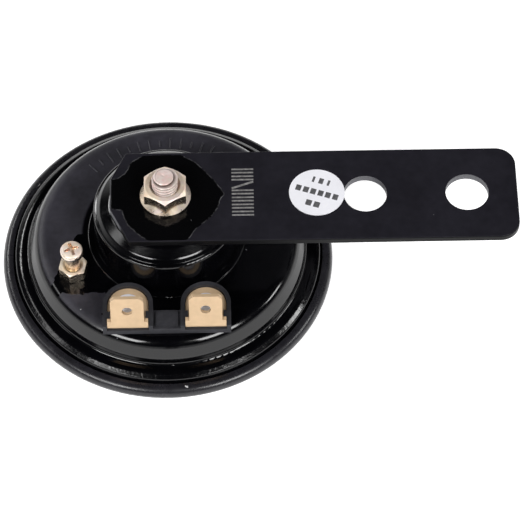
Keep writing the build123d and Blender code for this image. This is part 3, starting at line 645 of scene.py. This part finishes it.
# Lengths of pieces are in millimetres. A profile's corners are (radius, height)
stud = {
    "steps": 96,
    "core": [(0.0, 16.6), (4.6, 16.6), (5.0, 17.0), (5.0, 25.6), (2.5, 25.6), (2.5, 30.6)],
    "threadTop": 34.0,
    "tip": [(1.85, 34.62), (1.6, 34.7), (0.0, 34.7)],
    "coreRow": 3.0,
    "threadRow": 0.075,
    "tipRow": 0.1,
    "faceRow": 0.12,
    "pitch": 0.8,
    "depth": 0.44,
    "flankSlope": 1.5,
    "flankShift": 0.25,
    "fadeIn": 0.4,
    "plainTipRows": 4,
    "pit": (-0.4, 0.4, 0.26, 0.14),  # place, radius, depth
    "pitBelow": 0.01,
    "sharpAngle": 50.0,
}


# The stud is a turned profile. The thread's depth, faded in above the shoulder, comes off the radius, and
# the pit comes off the tip: depth * exp(-distance squared / radius squared)
def makeStud(values):
    shoulder = values["core"][-1]
    threadEnd = (shoulder[0], values["threadTop"])
    plain = profileRows(values["core"], values["coreRow"])
    threaded = profileRows([shoulder, threadEnd], values["threadRow"])
    tip = profileRows([threadEnd] + values["tip"][:2], values["tipRow"])
    face = profileRows(values["tip"][1:], values["faceRow"])
    profile = np.vstack([plain, threaded[1:], tip[1:], face[1:]])
    angles = np.linspace(0.0, 2 * np.pi, values["steps"], endpoint=False)
    radii = np.repeat(profile[:, :1], values["steps"], axis=1)
    heights = np.repeat(profile[:, 1:], values["steps"], axis=1)
    start = len(plain)
    end = start + len(threaded) + len(tip) - values["plainTipRows"]
    fade = np.clip((heights[start:end] - shoulder[1]) / values["fadeIn"], 0.0, 1.0)
    sunk = fade * threadDepth(heights[start:end], angles, values)
    radii[start:end] -= sunk
    # Painted shade in the thread grooves, as strong as each point is deep in the thread
    grooveShade = np.zeros_like(radii)
    grooveShade[start:end] = sunk / values["depth"]
    x = radii * np.cos(angles)
    y = radii * np.sin(angles)
    pitX, pitY, pitR, pitDepth = values["pit"]
    onTip = profile[:, 1] > values["tip"][1][1] - values["pitBelow"]
    dent = pitDepth * np.exp(-((x - pitX) ** 2 + (y - pitY) ** 2) / pitR**2)
    heights[onTip] -= dent[onTip]
    points = turned(radii, heights, (0.0, 0.0)).reshape(-1, 3) * mm
    faces = gridFaces(*radii.shape)
    finish = materials["zincPink"]
    piece = makePiece("threaded_core", points, faces, finish, values["sharpAngle"], grooveShade.ravel())
    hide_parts("pole_core")


makeStud(stud)

screw = {
    "centre": (-18.1, -8.95),
    "steps": 128,
    "tipZ": 12.85,
    "tipChamfer": 0.5,
    "shankR": 1.5,
    "shankRow": 1.2,
    "headZ": 22.3,
    "headR": 2.2,
    "edgeZ": 23.15,
    "topZ": 24.0,
    "edgeRound": 0.22,
    "edgeRows": 6,
    "domeRows": 60,
    "domePower": 2.6,
    "crossTurn": 20.0,
    "crossReach": 1.42,
    "crossHalf": 0.3,
    "crossWide": 1.25,
    "crossTaper": 0.5,
    "crossFlare": 0.24,
    "crossFlareFrom": 0.25,
    "crossDepth": 1.15,
    "crossBowl": 0.35,
    "sharpAngle": 55.0,
}


# The head's top is a dome, rise * sqrt(1 - (radius / head radius) ^ power). The cross is cut by the distance
# from two crossed bars that narrow outwards, with smoothed flanks, deepest at the middle
def makeScrew(values):
    headR, edgeRound, reach = values["headR"], values["edgeRound"], values["crossReach"]
    shank = profileRows(
        [
            (0.0, values["tipZ"]),
            (values["shankR"] - values["tipChamfer"], values["tipZ"]),
            (values["shankR"], values["tipZ"] + values["tipChamfer"]),
            (values["shankR"], values["headZ"]),
            (headR - edgeRound, values["headZ"]),
        ],
        values["shankRow"],
    )
    turn = np.linspace(-np.pi / 2, 0.0, values["edgeRows"])[1:]
    edgeR = headR - edgeRound + edgeRound * np.cos(turn)
    edgeZ = values["headZ"] + edgeRound + edgeRound * np.sin(turn)
    edge = np.stack([edgeR, edgeZ], axis=1)
    domeR = np.linspace(headR, 0.0, values["domeRows"])
    rise = values["topZ"] - values["edgeZ"]
    fall = (domeR / headR) ** values["domePower"]
    domeZ = values["edgeZ"] + rise * np.sqrt(np.clip(1 - fall, 0.0, 1.0))
    profile = np.vstack([shank, edge, np.stack([domeR, domeZ], axis=1)])
    radii = np.repeat(profile[:, :1], values["steps"], axis=1)
    heights = np.repeat(profile[:, 1:], values["steps"], axis=1)
    angles = np.linspace(0.0, 2 * np.pi, values["steps"], endpoint=False) - math.radians(values["crossTurn"])
    u = np.abs(radii * np.cos(angles))
    v = np.abs(radii * np.sin(angles))
    farther = np.maximum(u, v)
    half = values["crossHalf"] * (values["crossWide"] - values["crossTaper"] * farther / reach)
    outside = np.maximum(np.minimum(u, v) - half, farther - reach)
    cut = np.clip(-outside / values["crossFlare"] + values["crossFlareFrom"], 0.0, 1.0)
    cut = cut * cut * (3 - 2 * cut)
    bowl = 1.0 - values["crossBowl"] * np.clip(np.hypot(u, v) / reach, 0.0, 1.0)
    onTop = np.arange(len(profile)) >= len(shank) + len(edge)
    heights[onTop] -= (values["crossDepth"] * cut * bowl)[onTop]
    points = turned(radii, heights, values["centre"]).reshape(-1, 3) * mm
    faces = gridFaces(*radii.shape)
    piece = makePiece("cross_head_screw", points, faces, materials["zincYellow"], values["sharpAngle"])
    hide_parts("adjusting_screw")


makeScrew(screw)
print("turned pieces done")


# A plate has twelve corners, four on each level: four sides twice, then its top and its bottom
plateSides = [
    (level + i, level + (i + 1) % 4, level + 4 + (i + 1) % 4, level + 4 + i)
    for level in (0, 4)
    for i in range(4)
]
plateFaces = np.array(plateSides + [(8, 9, 10, 11), (3, 2, 1, 0)])


# Thin raised plates on a flat face: each is a centre, a length, a width and a turn. A corner is
# centre + u * along + v * across, on a sunk level, half way up, and drawn in by the bevel on top
def makePlates(name, plates, values, material):
    x, y, length, width, turn = np.array(plates).T[:, :, None, None]
    inset = np.array([0.0, 0.0, values["bevel"]])[:, None]
    u = np.array([-1, 1, 1, -1]) * (length / 2 - inset)
    v = np.array([-1, -1, 1, 1]) * (width / 2 - inset)
    cornerX = x + u * np.cos(turn) - v * np.sin(turn)
    cornerY = y + u * np.sin(turn) + v * np.cos(turn)
    level = values["baseZ"] + values["rise"] * np.array([-1.0, 0.5, 1.0])[:, None]
    points = np.stack(np.broadcast_arrays(cornerX, cornerY, level), axis=-1).reshape(-1, 3) * mm
    first = 12 * np.arange(len(plates))[:, None, None]
    mesh = bpy.data.meshes.new(name)
    mesh.from_pydata(points.tolist(), [], (first + plateFaces).reshape(-1, 4).tolist())
    piece = linked(name, mesh, material)
    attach(piece, "horn")


# Plain strokes stand where the bracket is printed: short bars across the strap in one column
strapPrint = {
    "x": 14.85,
    "width": 4.2,
    "lowY": -4.95,
    "highY": 6.6,
    "count": 7,
    "stroke": 0.44,
    "pairGap": 0.24,
    "pairStroke": 0.8,
    "slantedRow": 4,
    "slantedWidth": 1.05,
    "slant": 0.35,
    "baseZ": 28.0,
    "rise": 0.012,
    "bevel": 0.02,
}


# Each row is a pair of strokes, apart from one row that is a single slanted stroke
def makePrint(values):
    x, width, stroke = values["x"], values["width"], values["stroke"]
    pitch = (values["highY"] - values["lowY"]) / values["count"]
    gap, thin = pitch * values["pairGap"], stroke * values["pairStroke"]
    plates = []
    for row in range(values["count"]):
        y = values["lowY"] + (row + 0.5) * pitch
        if row == values["slantedRow"]:
            plates.append((x, y, width * values["slantedWidth"], stroke, values["slant"]))
            continue
        for side in (-1, 1):
            plates.append((x, y + side * gap, width, thin, 0.0))
    makePlates("strap_print", plates, values, materials["printInk"])


makePrint(strapPrint)

label = {
    "centre": (29.1, 0.4),
    "turn": 161.0,
    # Bars: place along the line, line, length
    "bars": [
        (-3.7, 1, 1.05), (-2.2, 1, 1.05), (-0.75, 1, 1.05), (0.75, 1, 1.05), (2.2, 1, 1.05), (3.7, 1, 1.05),
        (-0.8, 2, 1.15), (0.8, 2, 1.15),
        (-1.5, 0, 0.45), (0.0, 0, 0.9), (1.5, 0, 0.45),
    ],
    "lineGap": 2.75,
    "lineMiddle": 1.0,
    "stroke": 1.3,
    "baseZ": 28.12,
    "rise": 0.008,
    "bevel": 0.01,
}


# Bars on the label's lines, turned together about its centre
def makeLabelBars(values):
    turn = math.radians(values["turn"])
    plates = []
    for along, line, length in values["bars"]:
        across = (line - values["lineMiddle"]) * values["lineGap"]
        x = values["centre"][0] + along * math.cos(turn) - across * math.sin(turn)
        y = values["centre"][1] + along * math.sin(turn) + across * math.cos(turn)
        plates.append((x, y, length, values["stroke"], turn))
    makePlates("label_bars", plates, values, materials["labelInk"])


makeLabelBars(label)

strokes = {
    "radius": 21.3,
    "from": 60.0,
    "to": 133.0,
    "count": 14,
    "length": 2.6,
    "shortEvery": 3,
    "shortShare": 0.6,
    "width": 0.42,
    "baseZ": 15.9,
    "rise": 0.18,
    "bevel": 0.14,
}


# Raised strokes on the far plateau, evenly spaced on an arc and pointing outwards
def makeStrokes(values):
    plates = []
    for i in range(values["count"]):
        angle = math.radians(values["from"] + (values["to"] - values["from"]) * i / (values["count"] - 1))
        x = values["radius"] * math.cos(angle)
        y = values["radius"] * math.sin(angle)
        length = values["length"] if i % values["shortEvery"] else values["length"] * values["shortShare"]
        plates.append((x, y, length, values["width"], angle))
    makePlates("plateau_strokes", plates, values, housingEnamel)


makeStrokes(strokes)
print("marks done")


# Lacquer brushed over the strap round the nut
film = {
    "outline": [
        (-10.45, 4.2), (-9.12, 4.55), (-7.59, 5.94), (-6.64, 8.3), (-4.52, 9.68), (-0.6, 9.85), (3.23, 9.78),
        (5.84, 8.06), (7.85, 5.65), (9.75, 3.25), (11.45, 0.4), (10.67, -0.53), (10.17, -2.62), (8.71, -4.91),
        (6.02, -7.41), (4.3, -10.15), (-3.5, -10.15), (-5.4, -8.57), (-7.2, -6.58), (-8.15, -4.36),
        (-8.3, -2.96), (-9.54, -2.94), (-10.45, -2.7),
    ],
    "step": 0.28,
    "smoothings": 2,
    "ragged": 0.05,
    "raggedReachY": 9.9,
    "raggedLeftX": -10.3,
    "seed": 5,
    "baseZ": 28.0,
    # Rings inwards from the edge: inset, height over the strap, how much of the painted edge highlight
    "rings": [
        (0.0, -0.02, 0.6), (0.0, 0.012, 1.0), (0.05, 0.05, 1.0), (0.13, 0.05, 0.5), (0.24, 0.02, 0.0),
        (0.6, 0.018, 0.0),
    ],
    # The painted edge highlight is left out where the film ends at the strap's own edges
    "edgeFarY": 9.55,
    "edgeNearY": -9.8,
    "edgeLeftX": -10.2,
    "base": colour(0.0022, 0.0022, 0.0026),
    # edge: grey of the painted highlight along the film's edge, also the colour of the dust specks
    "edge": colour(0.11, 0.11, 0.115),
    "brokenLine": (420.0, -0.1, 1.2),  # scale, low, high
    "dustSpecks": (620.0, 0.06, 0.12),  # scale, share of the cells, size
    "rough": 0.07,
    "edgeRough": 0.4,
    "indexOfRefraction": 1.3,
    "rippleScale": 300.0,
    "rippleStrength": 0.3,
    "rippleDepth": 0.000004,
}


# The edge attribute, broken up by mottle, turns the lacquer grey and dull along its edge: the grey is a
# painted highlight on the film's raised edge, and the same grey colours real dust specks
def makeFilmMaterial(values):
    material, tree, shader, place = startMaterial("filmLacquer")
    edge = put(tree, "Attribute", attribute_name="edge").outputs["Fac"]
    line = reckon(tree, "MULTIPLY", edge, mottled(tree, place, *values["brokenLine"]), clamp=True)
    # Painted highlight along the film's edge, then dust specks in the same grey
    base = blendColour(tree, line, values["base"], values["edge"])
    base = blendColour(tree, speckled(tree, place, *values["dustSpecks"]), base, values["edge"])
    rough = spread(tree, line, 0.0, 1.0, values["rough"], values["edgeRough"])
    ripple = noisy(tree, place, values["rippleScale"], 2.0)
    normal = bumped(tree, ripple, values["rippleStrength"], values["rippleDepth"])
    feed(tree, shader, {"Base Color": base, "Roughness": rough, "Normal": normal})
    shader.inputs["IOR"].default_value = values["indexOfRefraction"]
    return material


# The outline in short steps, smoothed by averages of neighbours: a quarter, a half and a quarter
def filmLine(values):
    corners = np.array(values["outline"])
    walked = []
    for start, end in zip(corners, np.roll(corners, -1, axis=0)):
        count = max(1, int(np.hypot(*(end - start)) / values["step"]))
        walked.append(start + (end - start) * np.arange(count)[:, None] / count)
    line = np.vstack(walked)
    for _ in range(values["smoothings"]):
        line = 0.25 * np.roll(line, 1, axis=0) + 0.5 * line + 0.25 * np.roll(line, -1, axis=0)
    return line


# The line gets a ragged edge, moved along its inward normal by noise; rings then step inwards to the middle
def makeFilm(values):
    line = filmLine(values)
    tangent = np.roll(line, -1, axis=0) - np.roll(line, 1, axis=0)
    tangent /= np.linalg.norm(tangent, axis=1)[:, None]
    inward = np.stack([tangent[:, 1], -tangent[:, 0]], axis=1)
    random = np.random.default_rng(values["seed"])
    noise = random.normal(0.0, values["ragged"], len(line))
    noise = (noise + np.roll(noise, 1)) / 2
    inside = (np.abs(line[:, 1]) < values["raggedReachY"]) & (line[:, 0] > values["raggedLeftX"])
    line = line + inward * (noise * inside)[:, None]
    rows, count = len(values["rings"]), len(line)
    insets, rises, edgeShares = np.array(values["rings"]).T
    rings = line + inward * insets[:, None, None]
    heights = np.broadcast_to((values["baseZ"] + rises)[:, None, None], (rows, count, 1))
    points = np.concatenate([rings, heights], axis=-1).reshape(-1, 3) * mm
    last = (rows - 1) * count
    faces = gridFaces(rows, count).tolist()
    faces.append(list(range(last, last + count)))
    faces.append(list(reversed(range(count))))
    mesh = bpy.data.meshes.new("strap_lacquer")
    mesh.from_pydata(points.tolist(), [], faces)
    far = line[:, 1] > values["edgeFarY"]
    near = line[:, 1] < values["edgeNearY"]
    left = line[:, 0] < values["edgeLeftX"]
    level = np.repeat(edgeShares, count) * np.tile(np.where(far | near | left, 0.0, 1.0), rows)
    mesh.attributes.new("edge", "FLOAT", "POINT").data.foreach_set("value", level.astype(np.float32))
    work = bmesh.new()
    work.from_mesh(mesh)
    bmesh.ops.triangulate(work, faces=[face for face in work.faces if len(face.verts) > 4])
    bmesh.ops.recalc_face_normals(work, faces=work.faces)
    work.to_mesh(mesh)
    work.free()
    mesh.shade_smooth()
    piece = linked("strap_lacquer", mesh, makeFilmMaterial(values))
    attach(piece, "horn")


makeFilm(film)
print("lacquer done")


# The studio: a pale floor, soft boxes and surroundings that are white at the horizon and dark overhead
studio = {
    "floorSize": 6.0,
    "floorColour": colour(0.9, 0.9, 0.9),
    "floorTone": (30.0, 0.99, 1.01),  # scale, darkest, lightest
    "floorRough": 0.8,
    "floorGlow": 0.78,
    "horizon": 1.0,
    "zenith": 0.004,
    "horizonTop": 0.03,
    "zenithFrom": 0.26,
    # Soft boxes: azimuth from the front in degrees, elevation, distance, width, height, power
    "boxes": {
        "leftBox": (-38.0, 42.0, 1.2, 0.52, 0.34, 7.2),
        "rightBox": (38.0, 42.0, 1.2, 0.52, 0.34, 7.2),
        "sideBox": (-94.0, 40.0, 1.2, 0.6, 0.16, 1.1),
        "lowBox": (92.0, 36.0, 1.2, 0.4, 0.16, 2.6),
        "farBox": (-132.0, 31.0, 1.2, 0.5, 0.13, 2.8),
    },
    "aim": (0.01, 0.0, 0.015),
}


def addFloor(values):
    half = values["floorSize"] / 2
    corners = [(-half, -half, 0), (half, -half, 0), (half, half, 0), (-half, half, 0)]
    mesh = bpy.data.meshes.new("floor")
    mesh.from_pydata(corners, [], [(0, 1, 2, 3)])
    material, tree, shader, place = startMaterial("floorPaper")
    looks = {
        "Base Color": scaled(tree, values["floorColour"], mottled(tree, place, *values["floorTone"])),
        "Roughness": values["floorRough"],
        "Emission Color": values["floorColour"],
        "Emission Strength": values["floorGlow"],
    }
    feed(tree, shader, looks)
    floor = linked("floor", mesh, material)


# A soft box stands off the aim by distance * (sine, -cosine) of its azimuth, raised by its elevation
def addBox(name, azimuth, elevation, distance, width, height, power, aim):
    data = bpy.data.lights.new(name, "AREA")
    data.shape = "RECTANGLE"
    data.size = width
    data.size_y = height
    data.energy = power
    light = bpy.data.objects.new(name, data)
    bpy.context.scene.collection.objects.link(light)
    sideways = math.radians(azimuth)
    above = math.radians(elevation)
    level = math.cos(above)
    toLight = Vector((math.sin(sideways) * level, -math.cos(sideways) * level, math.sin(above)))
    light.location = Vector(aim) + toLight * distance
    light.rotation_euler = (-toLight).to_track_quat("-Z", "Y").to_euler()


def addWorld(values):
    world = bpy.data.worlds.new("studioWorld")
    world.use_nodes = True
    tree = world.node_tree
    direction = put(tree, "TexCoord").outputs["Generated"]
    height = put(tree, "SeparateXYZ", {0: direction}).outputs[2]
    ends = (values["horizonTop"], values["zenithFrom"], values["horizon"], values["zenith"])
    glow = spread(tree, height, *ends)
    feed(tree, tree.nodes["Background"], {"Color": colour(1.0, 1.0, 1.0), "Strength": glow})
    bpy.context.scene.world = world


addFloor(studio)
for name, box in studio["boxes"].items():
    addBox(name, *box, studio["aim"])
addWorld(studio)
bpy.context.scene.view_settings.view_transform = "Standard"
print("studio done")
